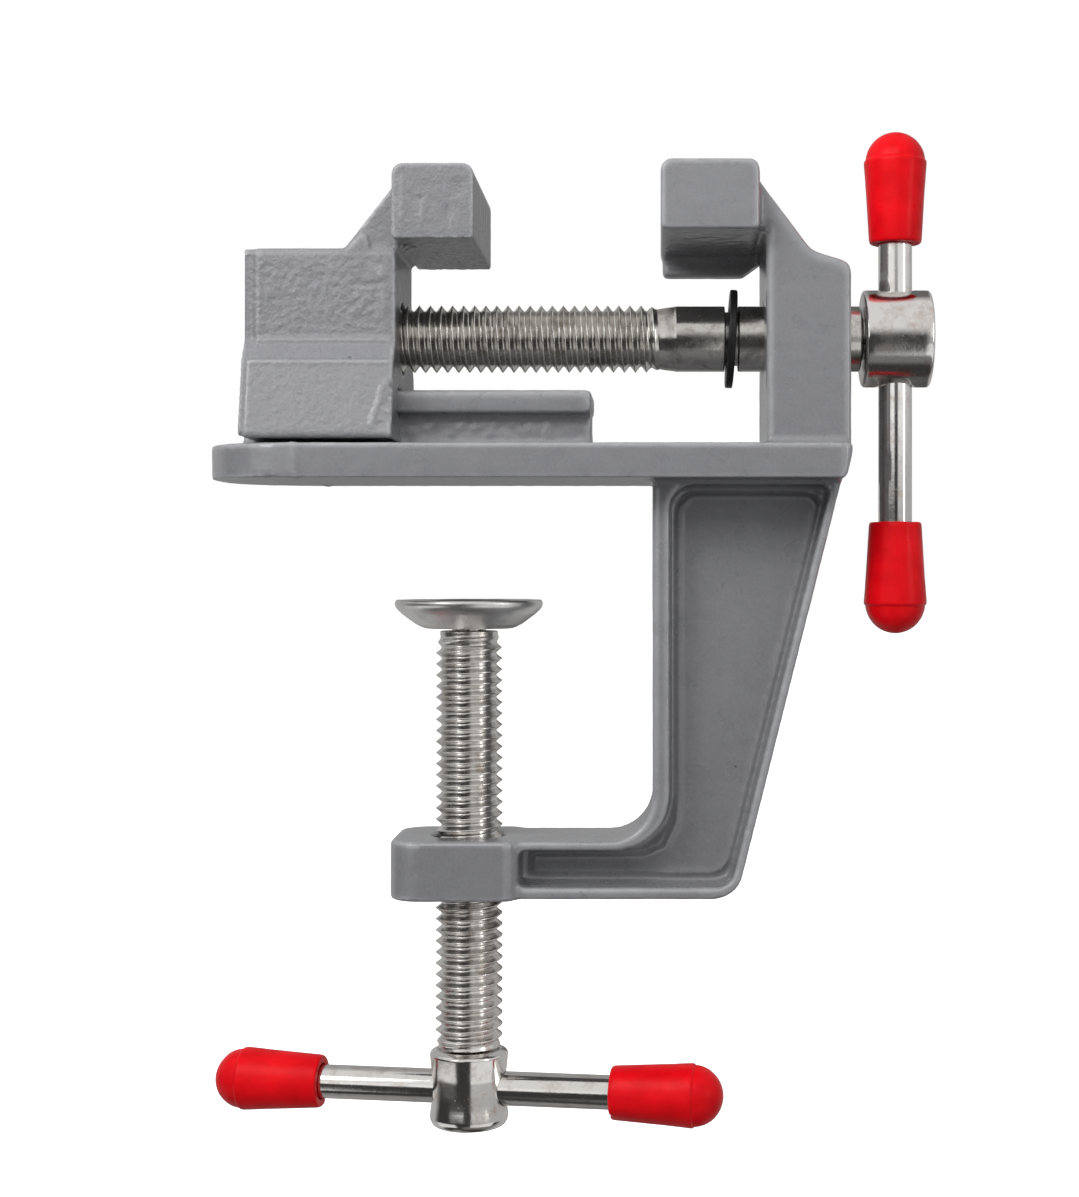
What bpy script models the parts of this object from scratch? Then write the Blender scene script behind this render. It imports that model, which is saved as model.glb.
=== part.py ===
"""Nutcracker: a small die-cast screw vise that clamps to the edge of a table.

Units are metres, +Z is up. The origin is the point where the clamp screw's axis meets the underside
of the base plate. +X runs along the vise screw towards its handle, and the plane y = 0 is the
middle of both castings.
"""
from math import acos, cos, pi, radians, sin, tan

import bmesh
import bpy
from mathutils import Matrix, Vector

MM = 0.001
GAP = 0.3                       # clearance between two separate pieces, in MM
ARC_STEPS = 5                   # straight pieces in a rounded corner
WIDE_ARC_STEPS = 12             # the same for corners of WIDE_RADIUS or more
WIDE_RADIUS = 4.0
TURN_STEPS = 24                 # sides of a turned piece

# Driving dimensions, all in MM.
PLATE_LEFT = -37.5
PLATE_TOP = 5.0
PLATE_HALF_WIDTH = 15.0
SPINE_HALF_WIDTH = 8.5
WEB_HALF_THICKNESS = 2.5
THROAT_X = 27.4                 # face of the spine that meets the table's edge
ARM_TOP = -52.6
FRAME_BOTTOM = -61.0
RIM = 1.3                       # width of the rims round the spine's pocket
LUG_HALF_WIDTH = 9.6
RAIL_ENDS = (-33.0, 18.5)
RAIL_NECK = (4.0, 9.8)          # half width and top of the rail's neck
RAIL_HEAD = (6.5, 13.2)         # half width and top of the rail's head
UPRIGHT_FACES = (43.8, 56.1)
UPRIGHT_HALF_WIDTH = 10.8
JAW_HALF_WIDTH = 15.0
FIXED_FACE_X = 28.6
MOVING_FACE_X = 2.0
SLIDE_FACES = (-32.0, -9.7)     # ends of the sliding jaw's body

THREAD_RADIUS = 5.0             # outer radius of both threads
VISE_AXIS_Z = 21.3
SHANK_RADIUS = 4.85
VISE_SCREW_END = -28.0
RING_X = 39.1
RING_LEAN = radians(3.0)
VISE_HEAD_FACES = (58.6, 68.7)
VISE_HANDLE_X = 63.6
VISE_HANDLE_DROP = 6.55         # how far the bar's middle lies below the vise screw's axis
HANDLE_ROD_RADIUS = 2.5
VISE_HANDLE_LENGTH = 74.7

PAD_TOP = -17.6
CLAMP_HEAD_FACES = (-84.4, -95.8)
CLAMP_HANDLE_Z = -90.3
CLAMP_HANDLE_TURN = -8.5        # degrees about the clamp screw
CLAMP_HANDLE_SHIFT = -0.55
CLAMP_HANDLE_LENGTH = 77.5
CAP_LENGTH = 16.6
CAP_SOCKET_DEPTH = 12.6

TENON_RADIUS = 3.0
TENON_LENGTH = 1.9


# ---------------------------------------------------------------- scene, materials and placing

def clear_scene():
    for obj in list(bpy.data.objects):
        bpy.data.objects.remove(obj, do_unlink=True)


def new_collection(name):
    collection = bpy.data.collections.new(name)
    bpy.context.scene.collection.children.link(collection)
    return collection


def material(name, colour, roughness, metallic):
    made = bpy.data.materials.new(name)
    made.use_nodes = True
    shader = made.node_tree.nodes["Principled BSDF"]
    shader.inputs["Base Color"].default_value = (*colour, 1.0)
    shader.inputs["Roughness"].default_value = roughness
    shader.inputs["Metallic"].default_value = metallic
    return made


def grey_paint(name):
    return material(name, (0.22, 0.23, 0.235), 0.35, 0.1)


def bright_steel(name):
    return material(name, (0.62, 0.61, 0.59), 0.2, 1.0)


def red_plastic(name):
    return material(name, (0.75, 0.008, 0.015), 0.3, 0.0)


def black_steel(name):
    return material(name, (0.02, 0.02, 0.022), 0.4, 0.6)


def axis_empty(name, location, parent=None, turn=(0.0, 0.0, 0.0)):
    empty = bpy.data.objects.new(name, None)
    empty.location = Vector(location) * MM
    empty.rotation_euler = turn
    empty.parent = parent
    parts.objects.link(empty)
    return empty


def place(obj, finish, parent=None):
    obj.data.materials.clear()
    obj.data.materials.append(finish)
    obj.parent = parent
    return obj


# ---------------------------------------------------------------- shapes

def rounded_outline(corners):
    """Points of a closed outline in MM, given (x, y, radius) for each corner."""
    points = []
    for index, (x, y, radius) in enumerate(corners):
        corner = Vector((x, y))
        if radius == 0.0:
            points.append(corner)
            continue
        back = (Vector(corners[index - 1][:2]) - corner).normalized()
        ahead = (Vector(corners[(index + 1) % len(corners)][:2]) - corner).normalized()
        half_angle = acos(back.dot(ahead)) / 2
        centre = corner + (back + ahead).normalized() * radius / sin(half_angle)
        start = corner + back * radius / tan(half_angle) - centre
        swing = pi - 2 * half_angle
        if back.x * ahead.y - back.y * ahead.x > 0.0:
            swing = -swing
        steps = WIDE_ARC_STEPS if radius >= WIDE_RADIUS else ARC_STEPS
        for step in range(steps + 1):
            points.append(centre + Matrix.Rotation(swing * step / steps, 2) @ start)
    return points


def mesh_from_curve(curve_object):
    """The curve's evaluated shape as a closed mesh object of the same name."""
    name = curve_object.name
    bpy.context.view_layer.update()
    evaluated = curve_object.evaluated_get(bpy.context.evaluated_depsgraph_get())
    mesh = bpy.data.meshes.new_from_object(evaluated)
    made = bmesh.new()
    made.from_mesh(mesh)
    bmesh.ops.remove_doubles(made, verts=made.verts, dist=1e-6)
    made.to_mesh(mesh)
    made.free()
    matrix = curve_object.matrix_world.copy()
    bpy.data.objects.remove(curve_object, do_unlink=True)
    obj = bpy.data.objects.new(name, mesh)
    obj.matrix_world = matrix
    parts.objects.link(obj)
    return obj


PLANE_TURNS = {"XY": (0.0, 0.0, 0.0), "XZ": (pi / 2, 0.0, 0.0), "YZ": (pi / 2, 0.0, pi / 2)}


def slab(name, corners, plane, half_thickness, middle):
    """A flat outline in the named plane, thickened both ways from middle on the third axis."""
    curve = bpy.data.curves.new(name, "CURVE")
    curve.dimensions = "2D"
    curve.fill_mode = "BOTH"
    curve.extrude = half_thickness * MM
    outline = rounded_outline(corners)
    spline = curve.splines.new("POLY")
    spline.points.add(len(outline) - 1)
    for point, (x, y) in zip(spline.points, outline):
        point.co = (x * MM, y * MM, 0.0, 1.0)
    spline.use_cyclic_u = True
    obj = bpy.data.objects.new(name, curve)
    obj.rotation_euler = PLANE_TURNS[plane]
    offset = {"XY": (0.0, 0.0, middle), "XZ": (0.0, middle, 0.0), "YZ": (middle, 0.0, 0.0)}[plane]
    obj.location = Vector(offset) * MM
    parts.objects.link(obj)
    return mesh_from_curve(obj)


def block(name, low, high):
    """A box between two corners, as a mesh."""
    mesh = bpy.data.meshes.new(name)
    made = bmesh.new()
    bmesh.ops.create_cube(made, size=1.0)
    size = Vector(high) - Vector(low)
    bmesh.ops.scale(made, vec=size * MM, verts=made.verts)
    made.to_mesh(mesh)
    made.free()
    obj = bpy.data.objects.new(name, mesh)
    obj.location = (Vector(low) + Vector(high)) * MM / 2
    parts.objects.link(obj)
    return obj


def rod(name, radius, length, sides=20):
    """A cylinder along Z with its middle at the origin."""
    mesh = bpy.data.meshes.new(name)
    made = bmesh.new()
    bmesh.ops.create_cone(made, cap_ends=True, segments=sides, radius1=radius * MM,
                          radius2=radius * MM, depth=length * MM)
    made.to_mesh(mesh)
    made.free()
    mesh.shade_smooth()
    mesh.set_sharp_from_angle(angle=radians(40))
    obj = bpy.data.objects.new(name, mesh)
    parts.objects.link(obj)
    return obj


def turned(name, profile, closed=False, steps=TURN_STEPS):
    """A profile of (radius, z) points turned about Z. It runs down the outer side."""
    mesh = bpy.data.meshes.new(name)
    edges = [(index, index + 1) for index in range(len(profile) - 1)]
    if closed:
        edges.append((len(profile) - 1, 0))
    mesh.from_pydata([(radius * MM, 0.0, z * MM) for radius, z in profile], edges, [])
    obj = bpy.data.objects.new(name, mesh)
    screw = obj.modifiers.new("turn", "SCREW")
    screw.axis = "Z"
    screw.steps = steps
    screw.render_steps = steps
    screw.use_merge_vertices = True
    screw.merge_threshold = 1e-6
    screw.use_smooth_shade = True
    parts.objects.link(obj)
    return obj


def bevel(obj, width, segments=2, angle=50.0):
    edges = obj.modifiers.new("edges", "BEVEL")
    edges.width = width * MM
    edges.segments = segments
    edges.limit_method = "ANGLE"
    edges.angle_limit = radians(angle)
    return obj


def boolean(obj, tools, operation):
    for tool in tools:
        modifier = obj.modifiers.new(tool.name, "BOOLEAN")
        modifier.operation = operation
        modifier.solver = "EXACT"
        modifier.object = tool
        parts.objects.unlink(tool)
        cutters.objects.link(tool)
        tool.hide_render = True
        tool.display_type = "WIRE"


def bore(name, radius, length, location, turn, sides=TURN_STEPS):
    """A round cutter."""
    cutter = rod(name, radius, length, sides)
    cutter.location = Vector(location) * MM
    cutter.rotation_euler = turn
    return cutter


ALONG_X = (0.0, pi / 2, 0.0)
ALONG_Z = (0.0, 0.0, 0.0)


# ---------------------------------------------------------------- the two castings

def slant_x(z):
    """Outer edge of the spine, which leans in towards the bottom."""
    return 54.9 + 0.25 * z


def plate():
    half = PLATE_HALF_WIDTH
    right = UPRIGHT_FACES[1] - 0.1
    corners = [(PLATE_LEFT, -half, 12.5), (right, -half, 1.5), (right, half, 1.5), (PLATE_LEFT, half, 12.5)]
    return bevel(slab("base_frame", corners, "XY", PLATE_TOP / 2, PLATE_TOP / 2), 0.9)


def plate_end_cutter():
    """Trims the plate's right end to the spine's slant."""
    low = -1.0
    high = PLATE_TOP - 0.3
    proud = 0.15
    corners = [(slant_x(low) + proud, low, 0), (62.0, low, 0), (62.0, high, 0),
               (slant_x(high) + proud, high, 0)]
    return slab("plate_end_cutter", corners, "XZ", 20.0, 0.0)


def spine():
    top = PLATE_TOP - 1.6
    shoulder = 1.0
    corners = [(THROAT_X, top, 0), (THROAT_X, ARM_TOP, 6.5), (3.0, ARM_TOP, 0), (3.0, FRAME_BOTTOM, 0),
               (slant_x(FRAME_BOTTOM), FRAME_BOTTOM, 4.5), (slant_x(shoulder), shoulder, 0),
               (slant_x(shoulder) - 2.0, top, 0)]
    return bevel(slab("spine", corners, "XZ", SPINE_HALF_WIDTH, 0.0), 0.9)


def lug():
    half = LUG_HALF_WIDTH
    corners = [(-11.0, -half, 4.5), (7.4, -half, 1.5), (7.4, half, 1.5), (-11.0, half, 4.5)]
    top = ARM_TOP + 0.1
    bottom = FRAME_BOTTOM - 0.25
    return bevel(slab("lug", corners, "XY", (top - bottom) / 2, (top + bottom) / 2), 2.3, 3)


def pocket_cutter(name, side):
    """The hollow on one side of the spine's web, from the web out past the rims."""
    top = -0.7
    bottom = FRAME_BOTTOM + RIM + 0.4
    left = THROAT_X + 2.5
    arm_left = 7.9
    arm_ceiling = ARM_TOP - 1.3
    corners = [(left, top, 3.5), (left, arm_ceiling, 8.0), (arm_left, arm_ceiling, 0.8), (arm_left, bottom, 0.8),
               (slant_x(bottom) - RIM, bottom, 2.6), (slant_x(top) - RIM, top, 1.0)]
    depth = 12.0
    middle = side * (WEB_HALF_THICKNESS + depth / 2)
    return bevel(slab(name, corners, "XZ", depth / 2, middle), 1.7, 3)


def rail():
    """Neck and head of the T-shaped rail that the sliding jaw grips."""
    left, right = RAIL_ENDS
    neck, neck_top = RAIL_NECK
    head, head_top = RAIL_HEAD
    neck_block = block("rail_neck", (left + 0.2, -neck, PLATE_TOP - 1.0), (right - 0.2, neck, neck_top + 1.0))
    head_block = block("rail_head", (left, -head, neck_top), (right, head, head_top))
    return [neck_block, bevel(head_block, 0.7)]


def upright():
    left, right = UPRIGHT_FACES
    foot = PLATE_TOP - 1.0
    corners = [(left, foot, 0), (left, 36.0, 0), (40.0, 36.0, 0), (40.0, 44.3, 0), (41.9, 44.3, 0),
               (50.4, 33.0, 2.0), (right, 31.2, 1.8), (right, foot, 0)]
    return bevel(slab("upright", corners, "XZ", UPRIGHT_HALF_WIDTH, 0.0), 0.8)


def jaw_head(name, low_x, high_x, low_z, high_z):
    corners = [(low_x, low_z, 0.3), (high_x, low_z, 0.3), (high_x, high_z, 1.5), (low_x, high_z, 1.5)]
    return bevel(slab(name, corners, "XZ", JAW_HALF_WIDTH, 0.0), 0.8)


def rear_lip():
    """Ledge that hangs from the back of the fixed jaw."""
    corners = [(28.9, 37.0, 0), (28.9, 32.3, 0.5), (41.3, 32.3, 0.5), (44.4, 34.6, 0), (44.4, 37.0, 0)]
    return slab("rear_lip", corners, "XZ", 1.9, 12.8)


def base_frame(finish):
    frame = plate()
    fixed_head = jaw_head("fixed_head", FIXED_FACE_X, 42.7, 35.3, 45.3)
    boolean(frame, [plate_end_cutter()], "DIFFERENCE")
    boolean(frame, [spine(), lug(), *rail(), upright(), fixed_head, rear_lip()], "UNION")
    pockets = [pocket_cutter("front_pocket", -1.0), pocket_cutter("back_pocket", 1.0)]
    shank_bore = bore("shank_bore", SHANK_RADIUS + GAP, 20.0, (50.0, 0.0, VISE_AXIS_Z), ALONG_X)
    lug_bore = bore("lug_bore", THREAD_RADIUS + GAP, 16.0, (0.0, 0.0, -57.0), ALONG_Z)
    boolean(frame, pockets + [shank_bore, lug_bore], "DIFFERENCE")
    return place(frame, finish)


def slide_body():
    """Body and shoe of the sliding jaw, one section along X."""
    foot = PLATE_TOP + 0.6
    side = [(14.7, foot, 0.8), (12.0, 16.8, 0.8), (9.6, 19.9, 1.5), (9.6, 33.5, 1.2)]
    other_side = [(-y, z, radius) for y, z, radius in reversed(side)]
    left, right = SLIDE_FACES
    body = slab("sliding_jaw", side + other_side, "YZ", (right - left) / 2, (right + left) / 2)
    return bevel(body, 0.9)


def slot_cutters():
    """The rail's neck and head with clearance all round."""
    left = SLIDE_FACES[0] - 3.0
    right = SLIDE_FACES[1] + 3.0
    neck = RAIL_NECK[0] + GAP
    head = RAIL_HEAD[0] + GAP
    head_foot = RAIL_NECK[1] - GAP
    head_top = RAIL_HEAD[1] + GAP
    return [block("slot_neck", (left, -neck, 3.0), (right, neck, head_foot + 1.0)),
            block("slot_head", (left - 1.0, -head, head_foot), (right + 1.0, head, head_top))]


def slide_web():
    """Sloping web that carries the jaw in front of the body."""
    corners = [(-19.0, 30.0, 0), (-19.0, 33.3, 0), (-17.3, 33.3, 1.0), (-10.2, 42.4, 0.6), (-7.0, 42.4, 0),
               (-7.0, 34.6, 0), (-9.9, 33.2, 0), (-9.9, 30.0, 0)]
    return bevel(slab("slide_web", corners, "XZ", 9.0, 0.0), 0.5, 1)


def web_gusset():
    """Low triangular step at the foot of the web."""
    corners = [(-18.0, 31.5, 0), (-17.2, 33.0, 0), (-14.2, 36.0, 0.5), (-13.4, 33.0, 0), (-13.0, 31.5, 0)]
    return slab("web_gusset", corners, "XZ", 9.5, 0.0)


def sliding_jaw(finish):
    jaw = slide_body()
    head = jaw_head("moving_head", -9.6, MOVING_FACE_X, 33.9, 44.6)
    boolean(jaw, [slide_web(), web_gusset(), head], "UNION")
    screw_bore = bore("jaw_bore", THREAD_RADIUS + GAP, 40.0, (-20.0, 0.0, VISE_AXIS_Z), ALONG_X)
    boolean(jaw, [*slot_cutters(), screw_bore], "DIFFERENCE")
    return place(jaw, finish)


# ---------------------------------------------------------------- vise screw and its handle

def vise_screw(finish, axis):
    """Threaded rod and plain shank in one piece, with a groove for the retaining ring."""
    groove = SHANK_RADIUS - 0.85
    face = VISE_HEAD_FACES[0] - GAP
    profile = [(0.0, face + TENON_LENGTH), (TENON_RADIUS, face + TENON_LENGTH), (TENON_RADIUS, face),
               (SHANK_RADIUS, face), (SHANK_RADIUS, RING_X + 1.0), (groove, RING_X + 1.0),
               (groove, RING_X - 1.0), (SHANK_RADIUS, RING_X - 1.0), (SHANK_RADIUS, 29.5),
               (THREAD_RADIUS, 28.5), (THREAD_RADIUS, VISE_SCREW_END + 0.8),
               (THREAD_RADIUS - 0.8, VISE_SCREW_END), (0.0, VISE_SCREW_END)]
    screw = turned("vise_screw", profile)
    screw.rotation_euler = ALONG_X
    return place(screw, finish, axis)


def vise_screw_head(finish, axis):
    """Drum at the end of the vise screw, drilled across for the handle."""
    left, right = VISE_HEAD_FACES
    radius = 7.2
    socket = TENON_RADIUS + GAP
    floor = left + TENON_LENGTH + 2 * GAP
    profile = [(0.0, right), (radius - 1.0, right), (radius - 0.3, right - 0.3), (radius, right - 1.0),
               (radius, left + 1.0), (radius - 0.3, left + 0.3), (radius - 1.0, left), (socket, left),
               (socket, floor - GAP), (0.0, floor - GAP)]
    head = turned("vise_screw_head", profile)
    head.rotation_euler = ALONG_X
    hole = bore("vise_handle_hole", HANDLE_ROD_RADIUS + GAP, 20.0,
                (VISE_HANDLE_X, 0.0, VISE_AXIS_Z), ALONG_Z, 20)
    boolean(head, [hole], "DIFFERENCE")
    return place(head, finish, axis)


def retaining_ring(finish, axis):
    """Split ring in the shank's groove, leaning a little as it sits."""
    inner = SHANK_RADIUS - 0.55
    outer = 7.3
    half = 0.55
    profile = [(outer, half), (outer, -half), (inner, -half), (inner, half)]
    ring = turned("retaining_ring", profile, closed=True)
    ring.location = (RING_X * MM, 0.0, 0.0)
    ring.rotation_euler = (0.0, pi / 2 + RING_LEAN, 0.0)
    split = block("ring_split", (RING_X - 2.0, 3.0, VISE_AXIS_Z - 1.3),
                  (RING_X + 2.0, 9.0, VISE_AXIS_Z + 1.3))
    boolean(ring, [split], "DIFFERENCE")
    return place(ring, finish, axis)


def handle_cap(name, finish, axis, end, direction, turn):
    """Moulded cap over one end of a handle bar. Its dome points along direction from the bar's end."""
    mouth_radius = 3.9
    ridge_radius = 4.65
    dome_radius = 4.4
    ridge = CAP_LENGTH - dome_radius
    dome = []
    for step in range(6):
        angle = step * pi / 12
        dome.append((dome_radius * sin(angle), ridge + dome_radius * cos(angle)))
    socket = HANDLE_ROD_RADIUS + GAP
    profile = dome + [(dome_radius, ridge + 0.4), (ridge_radius, ridge + 0.2), (ridge_radius, ridge - 0.4),
                      (mouth_radius, 0.4), (mouth_radius - 0.3, 0.0), (socket, 0.0),
                      (socket, CAP_SOCKET_DEPTH), (0.0, CAP_SOCKET_DEPTH)]
    cap = turned(name, profile, steps=20)
    cap.rotation_euler = turn
    cap.location = Vector(direction) * (end - CAP_LENGTH) * MM
    return place(cap, finish, axis)


def vise_handle(steel, red, axis):
    """Bar and two caps, standing upright through the drum."""
    rod_length = VISE_HANDLE_LENGTH - 2 * (CAP_LENGTH - CAP_SOCKET_DEPTH + GAP)
    bar = rod("vise_handle_rod", HANDLE_ROD_RADIUS, rod_length)
    bar.location = (0.0, 0.0, -VISE_HANDLE_DROP * MM)
    place(bar, steel, axis)
    upper_end = VISE_HANDLE_LENGTH / 2 - VISE_HANDLE_DROP
    lower_end = VISE_HANDLE_LENGTH / 2 + VISE_HANDLE_DROP
    handle_cap("vise_handle_cap_upper", red, axis, upper_end, (0, 0, 1), (0.0, 0.0, 0.0))
    handle_cap("vise_handle_cap_lower", red, axis, lower_end, (0, 0, -1), (pi, 0.0, 0.0))


# ---------------------------------------------------------------- clamp screw, pad and handle

def clamp_screw(finish, axis):
    """Threaded rod with a plain neck; a blind hole in its top takes the pad's rivet."""
    neck_top = -22.2
    neck_radius = 4.3
    hole = 2.8
    hole_floor = -25.6
    face = CLAMP_HEAD_FACES[0] + GAP
    profile = [(0.0, hole_floor), (hole, hole_floor), (hole, neck_top), (neck_radius, neck_top),
               (neck_radius, -23.8), (THREAD_RADIUS, -24.5), (THREAD_RADIUS, face), (TENON_RADIUS, face),
               (TENON_RADIUS, face - TENON_LENGTH), (0.0, face - TENON_LENGTH)]
    return place(turned("clamp_screw", profile), finish, axis)


def clamp_screw_head(finish, axis):
    """Drum at the foot of the clamp screw, slightly waisted, drilled across for the handle."""
    top, bottom = CLAMP_HEAD_FACES
    socket = TENON_RADIUS + GAP
    floor = top - TENON_LENGTH
    profile = [(0.0, floor), (socket, floor), (socket, top), (5.2, top), (5.8, top - 0.6),
               (5.65, top - 4.0), (5.65, bottom + 5.0), (6.0, bottom + 1.3), (5.8, bottom + 0.4),
               (5.1, bottom), (0.0, bottom)]
    head = turned("clamp_screw_head", profile)
    hole = bore("clamp_handle_hole", HANDLE_ROD_RADIUS + GAP, 20.0, (0.0, 0.0, CLAMP_HANDLE_Z),
                (0.0, pi / 2, radians(CLAMP_HANDLE_TURN)), 20)
    boolean(head, [hole], "DIFFERENCE")
    return place(head, finish, axis)


def clamp_pad(finish, axis):
    """Dished swivel pad, open in the middle for its rivet."""
    profile = [(9.3, PAD_TOP), (10.8, PAD_TOP), (11.0, PAD_TOP - 0.3), (11.0, PAD_TOP - 0.9),
               (10.4, PAD_TOP - 1.6), (7.9, PAD_TOP - 3.6), (4.6, PAD_TOP - 4.3), (3.1, PAD_TOP - 4.3),
               (3.1, PAD_TOP - 2.0), (7.6, PAD_TOP - 2.0)]
    return place(turned("clamp_pad", profile, closed=True, steps=32), finish, axis)


def pad_rivet(finish, axis):
    """Rivet that holds the pad on the screw's neck."""
    profile = [(0.0, -17.95), (3.2, -18.05), (4.0, -18.6), (4.0, -19.2), (2.5, -19.2), (2.5, -25.3),
               (0.0, -25.3)]
    return place(turned("pad_rivet", profile, steps=20), finish, axis)


def clamp_handle(steel, red, axis):
    """Bar and two caps lying across the foot of the clamp screw."""
    rod_length = CLAMP_HANDLE_LENGTH - 2 * (CAP_LENGTH - CAP_SOCKET_DEPTH + GAP)
    bar = rod("clamp_handle_rod", HANDLE_ROD_RADIUS, rod_length)
    bar.rotation_euler = ALONG_X
    bar.location = (CLAMP_HANDLE_SHIFT * MM, 0.0, 0.0)
    place(bar, steel, axis)
    right_end = CLAMP_HANDLE_LENGTH / 2 + CLAMP_HANDLE_SHIFT
    left_end = CLAMP_HANDLE_LENGTH / 2 - CLAMP_HANDLE_SHIFT
    handle_cap("clamp_handle_cap_right", red, axis, right_end, (1, 0, 0), (0.0, pi / 2, 0.0))
    handle_cap("clamp_handle_cap_left", red, axis, left_end, (-1, 0, 0), (0.0, -pi / 2, 0.0))


# ---------------------------------------------------------------- assembly

clear_scene()
parts = new_collection("nutcracker")
cutters = new_collection("cutters")

base_frame(grey_paint("frame_paint"))
sliding_jaw(grey_paint("jaw_paint"))

vise_axis = axis_empty("vise_screw_axis", (0.0, 0.0, VISE_AXIS_Z))
vise_screw(bright_steel("vise_screw_steel"), vise_axis)
vise_screw_head(bright_steel("vise_head_steel"), vise_axis)
retaining_ring(black_steel("ring_steel"), vise_axis)
vise_handle_axis = axis_empty("vise_handle_axis", (VISE_HANDLE_X, 0.0, 0.0), vise_axis)
vise_handle(bright_steel("vise_rod_steel"), red_plastic("vise_cap_plastic"), vise_handle_axis)

clamp_axis = axis_empty("clamp_screw_axis", (0.0, 0.0, 0.0))
clamp_screw(bright_steel("clamp_screw_steel"), clamp_axis)
clamp_screw_head(bright_steel("clamp_head_steel"), clamp_axis)
clamp_pad(bright_steel("pad_steel"), clamp_axis)
pad_rivet(bright_steel("rivet_steel"), clamp_axis)
clamp_handle_axis = axis_empty("clamp_handle_axis", (0.0, 0.0, CLAMP_HANDLE_Z), clamp_axis,
                               (0.0, 0.0, radians(CLAMP_HANDLE_TURN)))
clamp_handle(bright_steel("clamp_rod_steel"), red_plastic("clamp_cap_plastic"), clamp_handle_axis)
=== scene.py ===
"""Looks of the clamp-on vise that serves as a nutcracker. Metres, in the frame's own axes."""
import math

import bmesh
import bpy
import numpy as np
from mathutils import Matrix, Vector, noise


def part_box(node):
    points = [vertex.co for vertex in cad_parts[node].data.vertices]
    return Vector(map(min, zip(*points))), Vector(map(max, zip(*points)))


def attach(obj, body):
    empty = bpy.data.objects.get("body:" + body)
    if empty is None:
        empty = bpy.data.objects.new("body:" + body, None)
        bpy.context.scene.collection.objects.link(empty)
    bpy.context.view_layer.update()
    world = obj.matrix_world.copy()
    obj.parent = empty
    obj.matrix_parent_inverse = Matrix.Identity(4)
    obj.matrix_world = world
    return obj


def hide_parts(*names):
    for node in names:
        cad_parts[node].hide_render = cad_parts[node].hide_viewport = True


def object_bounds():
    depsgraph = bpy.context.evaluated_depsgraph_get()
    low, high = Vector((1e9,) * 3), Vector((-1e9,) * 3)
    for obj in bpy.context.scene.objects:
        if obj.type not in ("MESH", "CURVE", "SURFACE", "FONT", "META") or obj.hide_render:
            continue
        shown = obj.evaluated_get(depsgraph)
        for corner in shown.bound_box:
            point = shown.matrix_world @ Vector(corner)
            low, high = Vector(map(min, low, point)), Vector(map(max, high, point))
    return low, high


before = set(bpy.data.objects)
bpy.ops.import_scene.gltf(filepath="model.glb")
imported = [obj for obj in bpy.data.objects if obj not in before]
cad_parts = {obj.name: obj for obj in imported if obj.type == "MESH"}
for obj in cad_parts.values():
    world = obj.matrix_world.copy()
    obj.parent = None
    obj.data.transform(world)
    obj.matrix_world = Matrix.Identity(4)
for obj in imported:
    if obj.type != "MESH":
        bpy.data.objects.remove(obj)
cad_low, cad_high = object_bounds()

MM = 0.001
TURN = 2 * math.pi

# ------------------------------------------------ sizes, in millimetres unless named otherwise

FRAME_SIZE = (1079, 1197)       # the picture's width and height
SENSOR = 36.0
CAMERA_AT = (28.5, -297.0, -13.3)
PIXELS_PER_MM = 6.7             # at the middle plane, y = 0
AXIS_IN_PICTURE = (0.6117, 0.4770)  # where the camera's axis falls, as shares of width and height

PITCH = 1.65
CREST = 5.0                     # the threads' outer radius
THREAD_DEPTH = 0.92
FLANK_SHARE = 0.92              # a flank's share of half a pitch; the rest is the flat crest
TURN_SIDES = 64
VISE_AXIS_Z = 21.3
VISE_HANDLE_X = 63.6
VISE_DRUM_RADIUS = 7.2
CLAMP_HANDLE_Z = -90.3
CLAMP_HANDLE_TURN = math.radians(-8.5)
CLAMP_HANDLE_LENGTH = 77.5
CLAMP_HANDLE_SHIFT = -0.55
CLAMP_BAR_HALF_LENGTH = 34.45
RING_X = 39.1
RING_LEAN = math.radians(3.0)
SHANK_RADIUS = 4.85
ROD_RADIUS = 2.5
ROD_HOLE_RADIUS = 2.62
CAP_LENGTH = 16.6
CAP_SOCKET_DEPTH = 12.6
WEB_FIELD_HALF = 2.95           # half thickness of the web at its raised fields
FRAME_VOXEL = 0.48
JAW_VOXEL = 0.33
FLOOR_DROP = 0.045              # in metres: the clamp screw goes 30 mm down

ALONG_X = Matrix.Rotation(math.pi / 2, 4, "Y")


def node_box(name):
    """A CAD node's box in millimetres."""
    low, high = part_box(name)
    return low / MM, high / MM


# ------------------------------------------------ materials

def nodes_of(name):
    """A new material, its node tree and its shader."""
    made = bpy.data.materials.new(name)
    made.use_nodes = True
    tree = made.node_tree
    return made, tree, tree.nodes["Principled BSDF"]


def object_coordinates(tree, scale=(1.0, 1.0, 1.0)):
    at = tree.nodes.new("ShaderNodeTexCoord").outputs["Object"]
    if scale == (1.0, 1.0, 1.0):
        return at
    mapping = tree.nodes.new("ShaderNodeMapping")
    mapping.inputs["Scale"].default_value = scale
    tree.links.new(at, mapping.inputs["Vector"])
    return mapping.outputs["Vector"]


def noise_texture(tree, vector, scale, detail=3.0, roughness=0.5):
    node = tree.nodes.new("ShaderNodeTexNoise")
    node.inputs["Scale"].default_value = scale
    node.inputs["Detail"].default_value = detail
    node.inputs["Roughness"].default_value = roughness
    tree.links.new(vector, node.inputs["Vector"])
    return node.outputs["Fac"]


def cell_distance(tree, vector, scale):
    """Distance to the nearest of scattered points, in cells."""
    node = tree.nodes.new("ShaderNodeTexVoronoi")
    node.inputs["Scale"].default_value = scale
    tree.links.new(vector, node.inputs["Vector"])
    return node.outputs["Distance"]


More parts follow.
